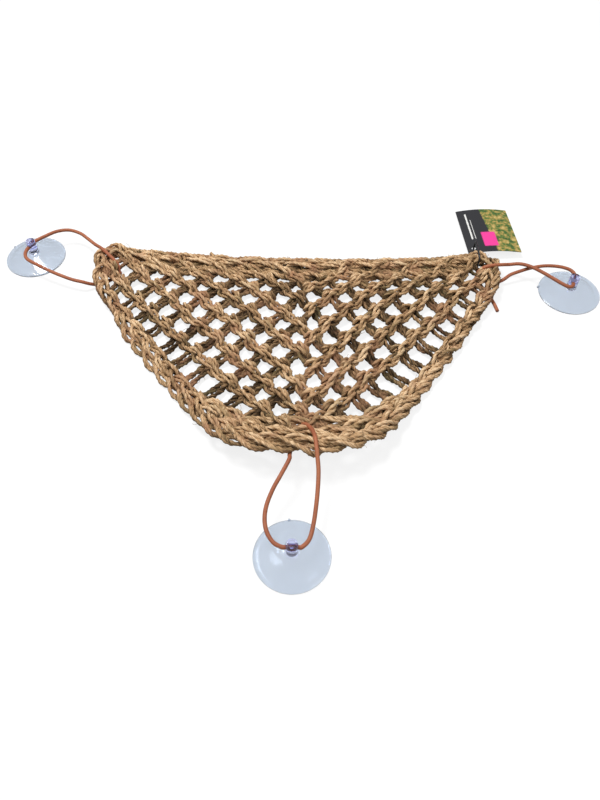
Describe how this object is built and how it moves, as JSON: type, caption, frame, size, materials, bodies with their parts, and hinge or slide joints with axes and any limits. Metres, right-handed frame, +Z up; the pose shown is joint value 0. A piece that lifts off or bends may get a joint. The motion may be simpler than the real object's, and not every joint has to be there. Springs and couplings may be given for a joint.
{
  "type": "reptile hammock",
  "caption": "Woven seagrass reptile hammock with a plaited edge, leather cord loops, clear suction cups and a card tag.",
  "frame": {"origin": "bottom centre of the part's box, on the table it lies on, measured with its cups and tag", "axes": "+X to the viewer's right along the straight top edge, +Y from the curled lip to the top edge, +Z up from the table"},
  "size_m": [0.453, 0.325, 0.0268],
  "materials": {
    "seagrass": "dry twisted seagrass, golden tan with olive and brown streaks",
    "dark_seagrass": "dry twisted seagrass, olive grey to brown",
    "leather_cord": "round leather cord, terracotta, slight sheen",
    "clear_pvc": "clear soft PVC with a faint blue tint, glossy",
    "black_tie": "thin black plastic strand",
    "printed_card": "printed card, dark charcoal, satin"
  },
  "bodies": {
    "net": {"border_plait": "seagrass", "lip_plait": "seagrass", "top_plait": "seagrass", "top_binding_cord": "dark_seagrass", "left_course_1": "seagrass", "left_course_2": "seagrass", "left_course_3": "seagrass", "left_course_4": "seagrass", "left_course_5": "seagrass", "left_course_6": "seagrass", "left_course_7": "seagrass", "right_course_1": "seagrass", "right_course_2": "seagrass", "right_course_3": "seagrass", "right_course_4": "seagrass", "right_course_5": "seagrass", "right_course_6": "seagrass", "left_cross_pairs": "dark_seagrass", "right_cross_pairs": "dark_seagrass", "left_hitch": "leather_cord", "right_hitch": "leather_cord", "front_hitch": "leather_cord", "tag_tie": "black_tie"},
    "left_loop": {"left_loop": "leather_cord"},
    "right_loop": {"right_loop": "leather_cord"},
    "front_loop": {"front_loop": "leather_cord"},
    "left_cup": {"left_cup": "clear_pvc"},
    "right_cup": {"right_cup": "clear_pvc"},
    "front_cup": {"front_cup": "clear_pvc"},
    "tag": {"tag_card": "printed_card"}
  },
  "joints": [
    {"name": "left_loop_swing", "type": "hinge", "parent": "net", "child": "left_loop", "pos_m": [-0.158, 0.09275, 0.00925], "axis": [0.1056, 0.9901, 0.0924], "range_deg": [-40, 80]},
    {"name": "right_loop_swing", "type": "hinge", "parent": "net", "child": "right_loop", "pos_m": [0.161, 0.0865, 0.008], "axis": [0, -0.9363, -0.3511], "range_deg": [-40, 80]},
    {"name": "front_loop_swing", "type": "hinge", "parent": "net", "child": "front_loop", "pos_m": [0.0044, -0.088, 0.0215], "axis": [-0.9844, 0, -0.1758], "range_deg": [-40, 80]},
    {"name": "left_cup_turn", "type": "hinge", "parent": "left_loop", "child": "left_cup", "pos_m": [-0.204, 0.109, 0.0125], "axis": [0.4226, 0.9063, 0], "range_deg": [-20, 110]},
    {"name": "right_cup_turn", "type": "hinge", "parent": "right_loop", "child": "right_cup", "pos_m": [0.204, 0.07, 0.0125], "axis": [-0.342, -0.9397, 0], "range_deg": [-20, 110]},
    {"name": "front_cup_turn", "type": "hinge", "parent": "front_loop", "child": "front_cup", "pos_m": [-0.002, -0.14, 0.0125], "axis": [-1, 0, 0], "range_deg": [-20, 110]},
    {"name": "tag_swing", "type": "hinge", "parent": "net", "child": "tag", "pos_m": [0.138, 0.1127, 0.006], "axis": [1, 0, 0], "range_deg": [-10, 40]}
  ]
}
